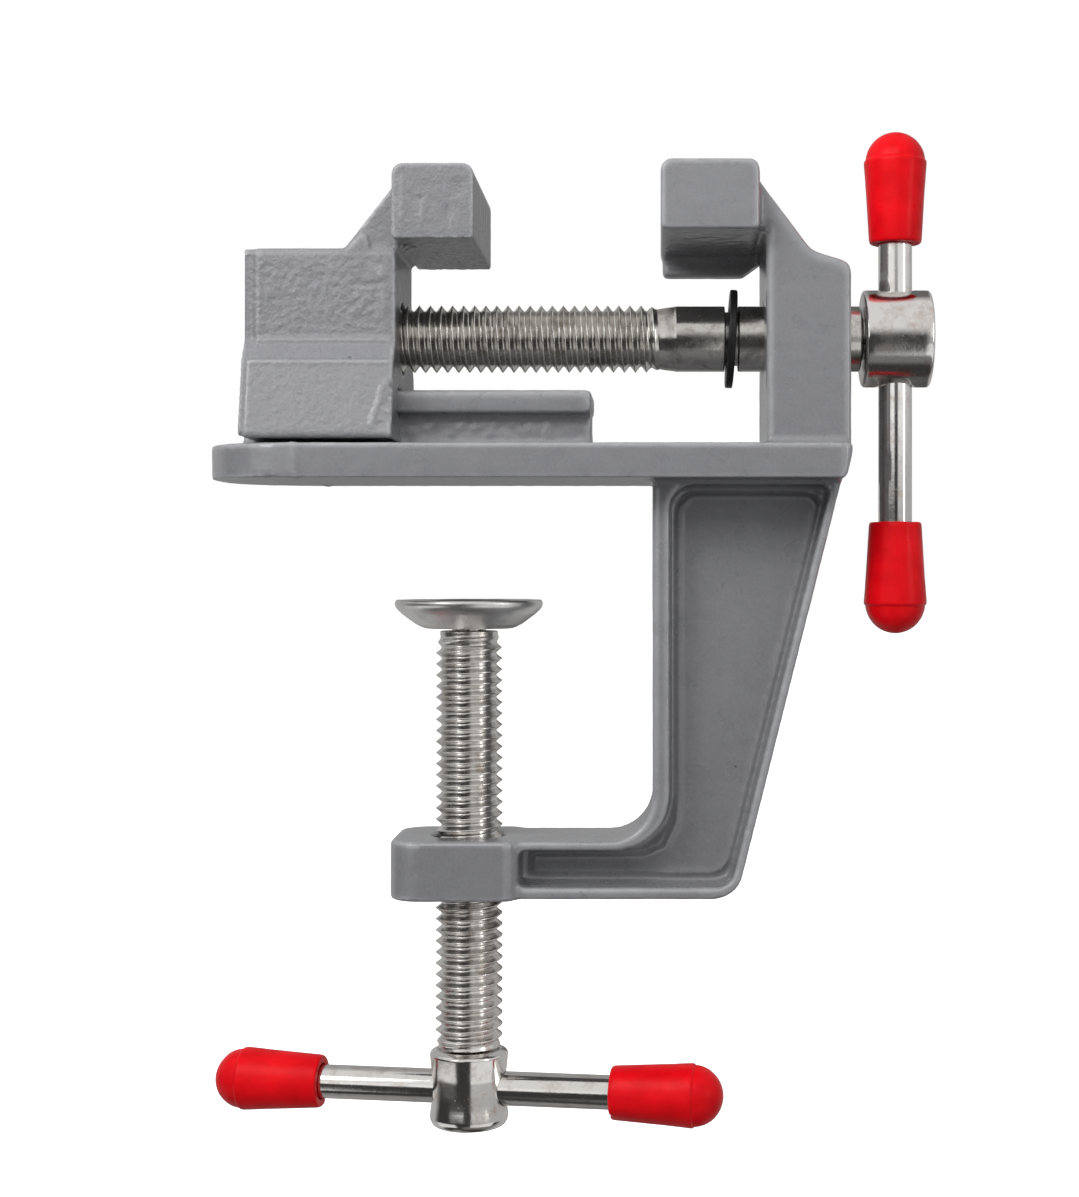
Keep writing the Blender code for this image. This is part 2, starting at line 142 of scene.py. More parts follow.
def ramp(tree, value, low, high, from_value, to_value):
    """value mapped from low..high to from_value..to_value, clamped."""
    node = tree.nodes.new("ShaderNodeMapRange")
    node.inputs["From Min"].default_value = low
    node.inputs["From Max"].default_value = high
    node.inputs["To Min"].default_value = from_value
    node.inputs["To Max"].default_value = to_value
    tree.links.new(value, node.inputs["Value"])
    return node.outputs["Result"]


def math_node(tree, operation, first, second):
    node = tree.nodes.new("ShaderNodeMath")
    node.operation = operation
    for socket, value in zip(node.inputs, (first, second)):
        if isinstance(value, (int, float)):
            socket.default_value = value
        else:
            tree.links.new(value, socket)
    return node.outputs[0]


def times(tree, first, second):
    return math_node(tree, "MULTIPLY", first, second)


def blend_colours(tree, factor, first, second):
    node = tree.nodes.new("ShaderNodeMix")
    node.data_type = "RGBA"
    colour_sockets = [socket for socket in node.inputs if socket.type == "RGBA"]
    tree.links.new(factor, node.inputs["Factor"])
    for socket, colour in zip(colour_sockets, (first, second)):
        if isinstance(colour, tuple):
            socket.default_value = (*colour, 1.0)
        else:
            tree.links.new(colour, socket)
    return next(socket for socket in node.outputs if socket.type == "RGBA")


def bump(tree, height, distance, normal=None):
    """A bump of distance metres, on top of another bump's normal if one is given."""
    node = tree.nodes.new("ShaderNodeBump")
    node.inputs["Distance"].default_value = distance
    tree.links.new(height, node.inputs["Height"])
    if normal is not None:
        tree.links.new(normal, node.inputs["Normal"])
    return node.outputs["Normal"]


def cast_paint(name, skin_depth):
    """Semi-gloss grey paint over a die casting: orange peel, slow waves and a few pits, whose dark colour
    is painted shade.

    Painted highlight makes it lighter on sharp convex corners, and painted shade makes it darker in
    hollows.
    """
    made, tree, shader = nodes_of(name)
    at = object_coordinates(tree)
    peel = noise_texture(tree, at, 1500.0, 3.0, 0.6)
    waves = noise_texture(tree, at, 260.0, 3.0)
    tone = noise_texture(tree, at, 90.0, 5.0, 0.6)
    speck = noise_texture(tree, at, 2600.0, 2.0)
    light = blend_colours(tree, ramp(tree, tone, 0.3, 0.7, 0.0, 1.0),
                          (0.166, 0.167, 0.178), (0.178, 0.179, 0.191))
    grain = blend_colours(tree, ramp(tree, speck, 0.35, 0.75, 0.0, 0.4), light, (0.24, 0.241, 0.25))
    # painted highlight: Pointiness lightens the colour along convex edges, modulated by the slow waves
    corner = tree.nodes.new("ShaderNodeNewGeometry").outputs["Pointiness"]
    painted_edge_highlight = times(tree, ramp(tree, corner, 0.504, 0.54, 0.0, 0.7),
                 ramp(tree, waves, 0.3, 0.6, 0.6, 1.0))
    with_painted_edge_highlight = blend_colours(tree, painted_edge_highlight, grain, (0.32, 0.322, 0.332))
    # painted shade: Pointiness darkens the colour in hollows and concave corners
    painted_hollow_shade = ramp(tree, corner, 0.40, 0.475, 0.6, 0.0)
    with_painted_hollow_shade = blend_colours(tree, painted_hollow_shade, with_painted_edge_highlight, (0.08, 0.08, 0.086))
    # painted shade: the pits are real, but their near-black colour stands in for the shade inside pits too
    # small to model
    pit_painted_shade = ramp(tree, cell_distance(tree, at, 150.0), 0.02, 0.045, 1.0, 0.0)
    with_pit_painted_shade = blend_colours(tree, times(tree, pit_painted_shade, 0.75), with_painted_hollow_shade, (0.03, 0.03, 0.032))
    tree.links.new(with_pit_painted_shade, shader.inputs["Base Color"])
    tree.links.new(ramp(tree, waves, 0.3, 0.7, 0.24, 0.36), shader.inputs["Roughness"])
    skin = noise_texture(tree, at, 1100.0, 4.0, 0.65)
    rough = bump(tree, skin, skin_depth, bump(tree, waves, 0.0001))
    fine = bump(tree, peel, 0.000018, rough)
    tree.links.new(fine, shader.inputs["Normal"])
    shader.inputs["Specular IOR Level"].default_value = 0.6
    shader.inputs["Coat Weight"].default_value = 0.7
    shader.inputs["Coat Roughness"].default_value = 0.14
    return made


def plated_steel(name, colour, tarnish, roughness, grain_scale, grain_depth):
    """Nickel-plated steel. grain_scale is the finish marks' frequency along each axis."""
    made, tree, shader = nodes_of(name)
    at = object_coordinates(tree)
    patches = noise_texture(tree, at, 380.0, 4.0, 0.65)
    grain = noise_texture(tree, object_coordinates(tree, grain_scale), 1.0, 3.0, 0.6)
    specks = noise_texture(tree, at, 2200.0, 3.0, 0.7)
    mixed = blend_colours(tree, ramp(tree, patches, 0.5, 0.72, 0.0, 1.0), colour, tarnish)
    tree.links.new(mixed, shader.inputs["Base Color"])
    smooth, rough = roughness
    shine = math_node(tree, "ADD", ramp(tree, patches, 0.35, 0.7, smooth, rough),
                      ramp(tree, specks, 0.62, 0.75, 0.0, 0.2))
    tree.links.new(shine, shader.inputs["Roughness"])
    marks = bump(tree, grain, grain_depth)
    tree.links.new(bump(tree, specks, grain_depth * 0.8, marks), shader.inputs["Normal"])
    shader.inputs["Metallic"].default_value = 1.0
    return made


def red_plastic():
    made, tree, shader = nodes_of("red_plastic")
    at = object_coordinates(tree)
    mottle = noise_texture(tree, at, 260.0, 3.0)
    fine = noise_texture(tree, at, 1400.0, 2.0)
    swell = noise_texture(tree, at, 180.0, 2.0)
    colour = blend_colours(tree, ramp(tree, mottle, 0.35, 0.65, 0.0, 1.0),
                           (0.74, 0.003, 0.008), (0.61, 0.001, 0.005))
    tree.links.new(colour, shader.inputs["Base Color"])
    tree.links.new(ramp(tree, mottle, 0.3, 0.7, 0.26, 0.4), shader.inputs["Roughness"])
    slow = bump(tree, swell, 0.00012)
    tree.links.new(bump(tree, fine, 0.000015, slow), shader.inputs["Normal"])
    shader.inputs["Subsurface Weight"].default_value = 0.08
    shader.inputs["Subsurface Radius"].default_value = (0.002, 0.0004, 0.0003)
    shader.inputs["Specular IOR Level"].default_value = 0.13
    return made


def black_steel():
    made, tree, shader = nodes_of("black_steel")
    fine = noise_texture(tree, object_coordinates(tree), 1200.0, 3.0)
    tree.links.new(ramp(tree, fine, 0.3, 0.7, 0.3, 0.5), shader.inputs["Roughness"])
    tree.links.new(bump(tree, fine, 0.00001), shader.inputs["Normal"])
    shader.inputs["Base Color"].default_value = (0.012, 0.012, 0.013, 1.0)
    shader.inputs["Metallic"].default_value = 0.4
    return made


def floor_paper():
    made, tree, shader = nodes_of("floor_paper")
    grain = noise_texture(tree, object_coordinates(tree), 60.0, 4.0)
    colour = blend_colours(tree, grain, (0.88, 0.88, 0.88), (0.90, 0.90, 0.90))
    tree.links.new(colour, shader.inputs["Base Color"])
    tree.links.new(colour, shader.inputs["Emission Color"])
    shader.inputs["Emission Strength"].default_value = 1.1
    shader.inputs["Roughness"].default_value = 0.9
    return made


# ------------------------------------------------ meshes

def add_piece(name, mesh, body, finish, replaced, sharp_angle=0.0):
    """Puts a finished mesh in the scene: it rides on body and stands for the CAD nodes in replaced."""
    mesh.materials.clear()
    mesh.materials.append(finish)
    mesh.shade_smooth()
    if sharp_angle:
        mesh.set_sharp_from_angle(angle=math.radians(sharp_angle))
    piece = bpy.data.objects.new(name, mesh)
    bpy.context.scene.collection.objects.link(piece)
    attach(piece, body)
    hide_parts(*replaced)


def mesh_from(name, points, faces, placed=Matrix.Identity(4)):
    """A mesh of points in millimetres, welded and turned outwards."""
    mesh = bpy.data.meshes.new(name)
    mesh.from_pydata([tuple(point) for point in np.asarray(points) * MM], [], faces)
    work = bmesh.new()
    work.from_mesh(mesh)
    bmesh.ops.remove_doubles(work, verts=work.verts, dist=2e-7)
    bmesh.ops.dissolve_degenerate(work, edges=work.edges, dist=1e-7)
    bmesh.ops.recalc_face_normals(work, faces=work.faces)
    work.to_mesh(mesh)
    work.free()
    mesh.transform(placed)
    return mesh


def rounded(profile, steps=4):
    """(radius, height, fillet) corners of a turned profile as points, with a round at each fillet."""
    points = []
    last = len(profile) - 1
    for index, (radius, height, fillet) in enumerate(profile):
        corner = Vector((radius, height))
        if fillet == 0.0 or index in (0, last):
            points.append(corner)
            continue
        back = Vector(profile[index - 1][:2]) - corner
        ahead = Vector(profile[index + 1][:2]) - corner
        reach = min(fillet, 0.45 * back.length, 0.45 * ahead.length)
        start = corner + back.normalized() * reach
        end = corner + ahead.normalized() * reach
        for step in range(steps + 1):
            share = step / steps
            points.append(start * (1 - share) ** 2 + corner * 2 * share * (1 - share) + end * share ** 2)
    return [(point.x, point.y) for point in points]


def revolve(profile, sides=TURN_SIDES, closed=False):
    """Points and faces of a profile turned about Z. Its ends lie on the axis, or it is closed."""
    angles = np.arange(sides) * TURN / sides
    points = []
    for radius, height in profile:
        points += [(radius * math.cos(a), radius * math.sin(a), height) for a in angles]
    rows = len(profile)
    faces = []
    for row in range(rows if closed else rows - 1):
        following = (row + 1) % rows
        for side in range(sides):
            beside = (side + 1) % sides
            faces.append((row * sides + side, row * sides + beside, following * sides + beside,
                          following * sides + side))
    return points, faces


def turned(name, profile, placed=Matrix.Identity(4), sides=TURN_SIDES, closed=False):
    points, faces = revolve(profile, sides, closed)
    return mesh_from(name, points, faces, placed)


def thread_radius(share):
    """Radius at a share of one pitch, with narrow crests and rounded roots."""
    from_crest = np.abs((share % 1.0) * 2 - 1)
    flank = np.clip((1.0 - from_crest) / FLANK_SHARE, 0.0, 1.0)
    return CREST - THREAD_DEPTH * (1 - (1 - flank) ** 1.15)


def threaded(name, low, high, low_end, high_end, placed):
    """A rod along Z with a right-hand helical thread between the heights low and high.

    low_end and high_end are the rings that carry on beyond the thread, each (radius, height), the
    nearest first. The thread runs out into them over a pitch.
    """
    per_pitch = 12
    sides = 72
    rows = int(math.ceil((high - low) / PITCH * per_pitch)) + per_pitch + 2
    low_radius, high_radius = low_end[0][0], high_end[0][0]
    row = np.arange(-per_pitch, rows + 1)
    share = row[:, None] / per_pitch + np.arange(sides)[None, :] / sides
    height = np.clip(low + PITCH * share, low, high)
    radius = np.repeat(thread_radius(row / per_pitch)[:, None], sides, axis=1)
    from_low = np.clip((height - low) / (1.1 * PITCH), 0.0, 1.0)
    from_high = np.clip((high - height) / (1.4 * PITCH), 0.0, 1.0)
    radius = low_radius + (radius - low_radius) * from_low
    radius = high_radius + (radius - high_radius) * from_high
    angle = np.arange(sides) * TURN / sides
    points = np.stack([radius * np.cos(angle), radius * np.sin(angle), height], axis=-1).reshape(-1, 3)
    count = len(row)
    faces = []
    for index in range(count - 1):
        for side in range(sides - 1):
            first = index * sides + side
            faces.append((first, first + 1, first + 1 + sides, first + sides))
        if index + per_pitch + 1 < count:
            first = index * sides + sides - 1
            wrapped = (index + per_pitch) * sides
            faces.append((first, wrapped, wrapped + sides, first + sides))
    points = list(points)
    for rings in (low_end, high_end):
        ring_points, ring_faces = revolve(rings, sides)
        offset = len(points)
        points += ring_points
        faces += [tuple(corner + offset for corner in face) for face in ring_faces]
    return mesh_from(name, points, faces, placed)


def shaped(mesh, *steps):
    """mesh after modifiers, each given as (type, settings)."""
    carrier = bpy.data.objects.new("carrier", mesh)
    bpy.context.scene.collection.objects.link(carrier)
    for kind, settings in steps:
        modifier = carrier.modifiers.new(kind, kind)
        for key, value in settings.items():
            setattr(modifier, key, value)
    evaluated = carrier.evaluated_get(bpy.context.evaluated_depsgraph_get())
    made = bpy.data.meshes.new_from_object(evaluated)
    bpy.data.objects.remove(carrier, do_unlink=True)
    return made


def cut(mesh, *cutter_meshes):
    """mesh with the cutters taken away."""
    cutters = []
    for cutter_mesh in cutter_meshes:
        cutter = bpy.data.objects.new("cutter", cutter_mesh)
        bpy.context.scene.collection.objects.link(cutter)
        cutters.append(cutter)
    made = shaped(mesh, *[("BOOLEAN", {"object": cutter, "solver": "EXACT"}) for cutter in cutters])
    for cutter in cutters:
        bpy.data.objects.remove(cutter, do_unlink=True)
    return made


def outline_slab(name, outline, y_low, y_high):
    """A slab in the XZ plane between two depths."""
    count = len(outline)
    points = [(x, y, z) for y in (y_low, y_high) for x, z in outline]
    faces = [tuple(range(count)), tuple(range(2 * count - 1, count - 1, -1))]
    for index in range(count):
        beside = (index + 1) % count
        faces.append((index, index + count, beside + count, beside))
    return mesh_from(name, points, faces)


def joined(name, *meshes):
    work = bmesh.new()
    for mesh in meshes:
        work.from_mesh(mesh)
    made = bpy.data.meshes.new(name)
    work.to_mesh(made)
    work.free()
    return made


def bell(value, middle, width):
    return math.exp(-((value - middle) / width) ** 2)


def between(value, low, high, soft):
    """1 inside low..high, falling to 0 over soft."""
    return min(1.0, max(0.0, (value - low) / soft)) * min(1.0, max(0.0, (high - value) / soft))


def lift(mesh, height_at):
    """Moves each point along its normal by height_at(point, normal), in millimetres."""
    mesh.update()
    normals = [vertex.normal.copy() for vertex in mesh.vertices]
    for vertex, normal in zip(mesh.vertices, normals):
        at = vertex.co / MM
        vertex.co = vertex.co + normal * height_at(at, normal) * MM
    mesh.update()
    return mesh


# ------------------------------------------------ the two castings

# the edge of the raised field on each side of the spine's web, x and z
PANEL_OUTLINE = [(31.3, -4.2), (33.2, -2.4), (50.4, -2.4), (51.6, -3.6), (50.9, -6.6), (38.6, -55.8),
                 (37.5, -57.2), (36.0, -57.8), (9.9, -57.8), (9.9, -55.4), (26.0, -55.4), (29.3, -54.2),
                 (31.0, -50.6), (31.3, -47.0)]

# pits in the moving jaw's underside: x, y, depth
UNDERSIDE_PITS = ((-8.6, -8.6, 0.5), (-7.6, -7.2, 0.45), (-8.9, -5.6, 0.35), (-6.3, -9.4, 0.25),
                  (-4.4, -2.0, 0.2))

# bumps and dents in the sliding jaw's near side: height, x, width in x, z, width in z
NEAR_MARKS = ((0.2, -11.8, 0.7, 29.7, 1.1), (0.14, -11.5, 0.5, 25.2, 2.6),
              (0.15, -5.3, 0.35, 37.4, 1.5), (-0.16, -1.5, 0.6, 37.4, 1.4),
              (-0.13, 0.1, 0.8, 41.0, 1.1), (-0.30, -5.5, 0.35, 39.5, 0.35))


def web_panels():
    """The slightly raised fields on both sides of the spine's web."""
    return outline_slab("web_panels", PANEL_OUTLINE, -WEB_FIELD_HALF, WEB_FIELD_HALF)


def from_outline(x, z):
    """Distance to the edge of the web's raised field."""
    nearest = math.inf
    for (x1, z1), (x2, z2) in zip(PANEL_OUTLINE, PANEL_OUTLINE[1:] + PANEL_OUTLINE[:1]):
        along_x, along_z = x2 - x1, z2 - z1
        share = ((x - x1) * along_x + (z - z1) * along_z) / (along_x ** 2 + along_z ** 2)
        share = min(1.0, max(0.0, share))
        nearest = min(nearest, math.hypot(x - x1 - share * along_x, z - z1 - share * along_z))
    return nearest


def frame_texture(at, normal):
    """Rough skin on the rail's neck, a bead round the web's field, a line on the plate."""
    grain = noise.noise(at * 0.55) * 0.03
    neck = (between(at.z, 5.2, 9.6, 0.5) * between(abs(at.y), 3.4, 4.6, 0.4)
            * between(at.x, -36.0, 18.9, 0.4))
    under = between(at.z, 34.0, 36.0, 0.5) * between(at.x, 28.0, 43.0, 0.5) * max(0.0, -normal.z)
    rough = noise.noise(at * 0.95) + 0.5 * noise.noise(at * 2.1)
    height = grain + 0.16 * neck * rough + 0.05 * under * rough
    if at.z < -1.0 and abs(at.y) < 5.0 and abs(normal.y) > 0.4 and at.x > 27.0:
        height += 0.22 * bell(from_outline(at.x, at.z), 0.0, 0.5) * min(1.0, (at.x - 27.0) / 3.0)
    if abs(at.y) > 12.0 and at.z < 6.0:
        height += 0.14 * bell(at.x + 0.25 * bell(at.z, 5.0, 1.0), -23.4, 0.45)
    return height


def jaw_texture(at, normal):
    """Rough skin on the body's sides, lines along their fields, a fold and dents in the jaw."""
    side = abs(normal.y)
    rough = noise.noise(at * 1.4) + 0.8 * noise.noise(at * 2.9)
    upper = between(at.z, 20.9, 32.2, 0.8) * between(at.x, -31.0, -10.6, 0.8)
    lower = between(at.z, 6.8, 16.0, 0.8) * between(at.x, -31.0, -10.6, 0.8)
    on_body = 1.0 if at.z < 33.0 or at.x < -18.0 else 0.0
    height = noise.noise(at * 0.55) * 0.02 + 0.10 * side * on_body * max(1.2 * upper, 0.7 * lower) * rough
    left_edge = -31.2 if at.z < 17.0 else -30.4
    from_left = max(0.0, at.x - left_edge)
    if on_body and from_left < 1.0:
        height -= 0.45 * (1.0 - from_left) ** 2 * (1.0 - 0.7 * max(0.0, normal.z))
    if side > 0.4 and on_body:
        inner = between(at.x, left_edge + 0.3, -10.2, 0.5)
        height += 0.15 * inner * (1.7 * bell(at.z, 20.1, 0.35) + bell(at.z, 16.7, 0.35))
        height -= 0.08 * inner * between(at.z, 16.9, 19.7, 0.4)
        height += 0.10 * bell(at.x, left_edge + 0.7, 0.3) * max(upper, lower)
    under = between(at.z, 33.0, 34.9, 0.5) * between(at.x, -9.2, 2.4, 0.5) * max(0.0, -normal.z)
    height += 0.09 * under * rough
    for x, y, depth in UNDERSIDE_PITS:
        height -= depth * under * bell(at.x, x, 0.45) * bell(at.y, y, 0.5)
    if at.y < 0.0 and side > 0.5:
        crease = bell(at.z, 28.1 + 0.3 * noise.noise(at * 0.8), 0.4) * between(at.x, -17.5, -10.4, 2.0)
        height -= 0.16 * crease
        for bulge, x, x_width, z, z_width in NEAR_MARKS:
            height += bulge * bell(at.x, x, x_width) * bell(at.z, z, z_width)
        fold_x = -11.2 - 0.29 * (12.8 - at.z)
        on_fold = between(at.z, 6.6, 14.6, 1.2)
        height += 0.2 * bell(at.x, fold_x, 0.35) * on_fold
        sunk = between(at.x, fold_x + 0.5, -9.0, 0.5) * on_fold
        height -= 0.28 * sunk * (0.6 + 0.8 * noise.noise(at * 1.3))
        height += 0.15 * bell(at.x, -8.2, 0.35) * between(at.z, 35.4, 43.2, 1.5)
    return height


def casting(name, source, extras, voxel, texture, body, finish):
    """A CAD casting with soft cast corners and a worked skin."""
    raw = joined(name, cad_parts[source].data, *extras)
    soft = shaped(raw, ("REMESH", {"mode": "VOXEL", "voxel_size": voxel * MM}),
                  ("SMOOTH", {"factor": 0.5, "iterations": 3}))
    lift(soft, texture)
    add_piece(name, soft, body, finish, [source])


# ------------------------------------------------ screws, drums, handles and pad

def along_vise(x=0.0):
    """Places a piece turned about Z so that its axis is the vise screw, its zero at x."""
    return Matrix.Translation(Vector((x, 0.0, VISE_AXIS_Z)) * MM) @ ALONG_X


def along_clamp_bar():
    """Places a piece turned about Z so that its axis is the clamp screw's bar."""
    turn = Matrix.Rotation(CLAMP_HANDLE_TURN, 4, "Z") @ ALONG_X
    return Matrix.Translation(Vector((0.0, 0.0, CLAMP_HANDLE_Z)) * MM) @ turn


def add_vise_screw():
    low, high = -28.0, 28.6
    face = node_box("vise_screw_head")[0].x - 0.3
    groove = SHANK_RADIUS - 0.85
    shank = rounded([(4.5, high, 0.0), (4.62, high + 0.6, 0.3), (4.78, 30.6, 0.3),
                     (SHANK_RADIUS, 30.9, 0.2), (SHANK_RADIUS, RING_X - 1.0, 0.15),
                     (groove, RING_X - 1.0, 0.1), (groove, RING_X + 1.0, 0.1),
                     (SHANK_RADIUS, RING_X + 1.0, 0.15), (SHANK_RADIUS, face, 0.3),
                     (3.0, face, 0.1), (3.0, face + 1.9, 0.2), (0.0, face + 1.9, 0.0)])
    mesh = threaded("vise_screw_thread", low, high, [(4.0, low), (0.0, low)], shank, along_vise())
    add_piece("vise_screw_thread", mesh, "vise_spindle", oiled, ["vise_screw"])


def rod_hole(placed):
    """A cutter for a bar's hole."""
    half, radius = 12.0, ROD_HOLE_RADIUS
    return turned("hole", [(0.0, -half), (radius, -half), (radius, half), (0.0, half)], placed, 40)


def mouth(placed, depth):
    """A cone that opens the mouth of a bar's hole."""
    narrow, wide = ROD_HOLE_RADIUS - depth, ROD_HOLE_RADIUS + depth
    return turned("mouth", [(0.0, -depth), (narrow, -depth), (wide, depth), (0.0, depth)], placed, 40)


def hole_mouths(across, reach, depth):
    """Both mouths of the bar's hole along across, reach from its middle."""
    other = across @ Matrix.Rotation(math.pi, 4, "X")
    return [mouth(place @ Matrix.Translation((0.0, 0.0, reach * MM)), depth) for place in (across, other)]


def add_vise_drum():
    left, right = (corner.x for corner in node_box("vise_screw_head"))
    radius = VISE_DRUM_RADIUS
    body = [(radius, right - 1.5 - step * (right - left - 2.8) / 20, 0.0) for step in range(21)]
    profile = rounded([(0.0, right, 0.0), (radius, right, 1.0), *body, (radius, left, 0.9),
                       (3.3, left, 0.2), (3.3, left + 2.4, 0.0), (0.0, left + 2.4, 0.0)], 6)
    across = Matrix.Translation(Vector((VISE_HANDLE_X, 0.0, VISE_AXIS_Z)) * MM)
    mesh = cut(turned("vise_drum", profile, along_vise(), 96), rod_hole(across),
               *hole_mouths(across, 6.75, 0.5))
    add_piece("vise_drum", mesh, "vise_spindle", bright, ["vise_screw_head"], 24.0)


def add_ring():
    """The split ring, leaning a little in its groove, with its gap at the back."""
    inner, outer, half = SHANK_RADIUS - 0.55, 7.3, 0.55
    profile = rounded([(inner, 0.0, 0.0), (inner, half, 0.12), (outer, half, 0.3), (outer, -half, 0.3),
                       (inner, -half, 0.12), (inner, -0.01, 0.0)])
    lean = Matrix.Rotation(RING_LEAN, 4, "Y")
    placed = along_vise(RING_X) @ lean
    low_z, high_z = VISE_AXIS_Z - 1.3, VISE_AXIS_Z + 1.3
    gap = outline_slab("gap", [(RING_X - 2.0, low_z), (RING_X + 2.0, low_z), (RING_X + 2.0, high_z),
                               (RING_X - 2.0, high_z)], 3.0, 9.0)
    mesh = cut(turned("snap_ring", profile, placed, 96, closed=True), gap)
    add_piece("snap_ring", mesh, "vise_spindle", black, ["retaining_ring"])


def add_bar(name, source, placed, half_length, middle, body):
    profile = rounded([(0.0, middle - half_length, 0.0), (ROD_RADIUS, middle - half_length, 0.4),
                       (ROD_RADIUS, middle, 0.0), (ROD_RADIUS, middle + half_length, 0.4),
                       (0.0, middle + half_length, 0.0)])
    finish = bar_across if body == "clamp_handle" else bar_upright
    add_piece(name, turned(name, profile, placed), body, finish, [source])


def add_cap(name, source, mouth_at, outward, body):
    """A moulded cap with its mouth at mouth_at, pointing outward."""
    ridge_radius, dome_radius = 4.65, 4.45
    ridge = CAP_LENGTH - dome_radius
    angles = [step * math.pi / 24 for step in range(12)]
    dome = [(dome_radius * math.sin(angle), ridge + dome_radius * math.cos(angle)) for angle in angles]
    skirt = rounded([(dome_radius, ridge + 0.25, 0.0), (ridge_radius, ridge + 0.1, 0.12),
                     (ridge_radius + 0.02, ridge - 0.3, 0.12), (4.42, ridge - 3.6, 1.5), (3.92, 0.45, 0.4),
                     (3.75, 0.0, 0.25), (2.7, 0.0, 0.15), (ROD_HOLE_RADIUS, 1.0, 0.0),
                     (ROD_HOLE_RADIUS, CAP_SOCKET_DEPTH, 0.0), (0.0, CAP_SOCKET_DEPTH, 0.0)])
    turn = Vector(outward).to_track_quat("Z", "Y").to_matrix().to_4x4()
    placed = Matrix.Translation(Vector(mouth_at) * MM) @ turn
    mesh = turned(name, dome + skirt, Matrix.Identity(4), 72)
    lift(mesh, cap_skin)
    mesh.transform(placed)
    add_piece(name, mesh, body, red, [source])


def cap_skin(at, normal):
    """A mould seam on both sides, slow unevenness and a nick at the mouth."""
    outside = 1.0 if math.hypot(at.x, at.y) > 3.0 else 0.0
    seam = 0.05 * bell(at.x, 0.0, 0.16) * between(at.z, 0.6, 15.8, 0.6)
    nick = -0.25 * bell(at.z, 0.2, 0.5) * bell(math.atan2(at.y, at.x), -2.2, 0.2)
    return outside * (seam + nick + 0.035 * noise.noise(at * 0.45) + 0.012 * noise.noise(at * 1.3))


def add_clamp_screw():
    low, high = -84.1, -22.6
    tip = rounded([(4.3, high, 0.0), (4.3, -22.2, 0.15), (2.8, -22.2, 0.1), (2.8, -25.6, 0.0),
                   (0.0, -25.6, 0.0)])
    foot = rounded([(4.6, low, 0.0), (3.0, low, 0.0), (3.0, low - 1.9, 0.0), (0.0, low - 1.9, 0.0)])
    name = "clamp_screw_thread"
    mesh = threaded(name, low, high, foot, tip, Matrix.Identity(4))
    add_piece(name, mesh, "clamp_spindle", bright_thread, ["clamp_screw"])


def add_clamp_drum():
    bottom, top = (corner.z for corner in node_box("clamp_screw_head"))
    profile = rounded([(0.0, top - 1.9, 0.0), (3.3, top - 1.9, 0.0), (3.3, top, 0.1), (4.9, top, 0.1),
                       (5.85, top - 0.55, 0.4), (5.5, top - 4.0, 0.4), (5.5, bottom + 4.0, 2.0),
                       (5.9, bottom + 1.1, 0.9), (5.3, bottom, 0.9), (0.0, bottom, 0.0)], 6)
    across = along_clamp_bar()
    mesh = cut(turned("clamp_drum", profile, Matrix.Identity(4), 96), rod_hole(across),
               *hole_mouths(across, 5.35, 0.12))
    add_piece("clamp_drum", mesh, "clamp_spindle", bright, ["clamp_screw_head"], 24.0)


def add_pad():
    top = -17.6
    profile = rounded([(7.6, top - 2.0, 0.4), (9.3, top, 0.2), (10.75, top, 0.15), (11.0, top - 0.35, 0.2),
                       (10.95, top - 0.9, 0.4), (10.3, top - 1.8, 0.9), (7.95, top - 3.6, 0.6),
                       (6.6, top - 4.25, 0.5), (3.1, top - 4.3, 0.2), (3.1, top - 2.0, 0.2),
                       (7.59, top - 2.0, 0.0)], 5)
    mesh = lift(turned("swivel_pad", profile, Matrix.Identity(4), 128, closed=True), pad_skin)
    add_piece("swivel_pad", mesh, "pad", satin, ["clamp_pad"])
    rivet = rounded([(0.0, -17.95, 0.0), (3.0, -18.0, 0.6), (4.0, -18.5, 0.3), (4.0, -19.2, 0.15),
                     (2.5, -19.2, 0.15), (2.5, -25.3, 0.2), (0.0, -25.3, 0.0)])
    mesh = turned("swivel_rivet", rivet)
    add_piece("swivel_rivet", mesh, "pad_pin", bright, ["pad_rivet"])


def pad_skin(at, normal):
    """Rings left by the lathe and a slightly wavy rim."""
    radius = math.hypot(at.x, at.y)
    rings = 0.012 * math.sin(radius * 9.0) if radius > 4.0 else 0.0
    return rings + 0.05 * noise.noise(at * 0.3) * between(radius, 6.0, 12.0, 2.0)


def add_handles():
    low, high = node_box("vise_handle_rod")
    middle_z = (low.z + high.z) / 2
    upright = Matrix.Translation(Vector(((low.x + high.x) / 2, 0.0, 0.0)) * MM)
    add_bar("vise_bar", "vise_handle_rod", upright, (high.z - low.z) / 2, middle_z, "vise_handle")
    for name, direction in (("vise_handle_cap_upper", 1.0), ("vise_handle_cap_lower", -1.0)):
        cap_low, cap_high = node_box(name)
        mouth_at = ((cap_low.x + cap_high.x) / 2, 0.0, cap_low.z if direction > 0 else cap_high.z)
        add_cap(name + "_moulded", name, mouth_at, (0.0, 0.0, direction), "vise_handle")
    add_bar("clamp_bar", "clamp_handle_rod", along_clamp_bar(), CLAMP_BAR_HALF_LENGTH,
            CLAMP_HANDLE_SHIFT, "clamp_handle")
    along = Matrix.Rotation(CLAMP_HANDLE_TURN, 4, "Z") @ Vector((1.0, 0.0, 0.0))
    for name, direction in (("clamp_handle_cap_right", 1.0), ("clamp_handle_cap_left", -1.0)):
        reach = CLAMP_HANDLE_LENGTH / 2 - CAP_LENGTH + CLAMP_HANDLE_SHIFT * direction
        mouth_at = along * direction * reach + Vector((0.0, 0.0, CLAMP_HANDLE_Z))
        add_cap(name + "_moulded", name, mouth_at, along * direction, "clamp_handle")


# ------------------------------------------------ camera, light and floor

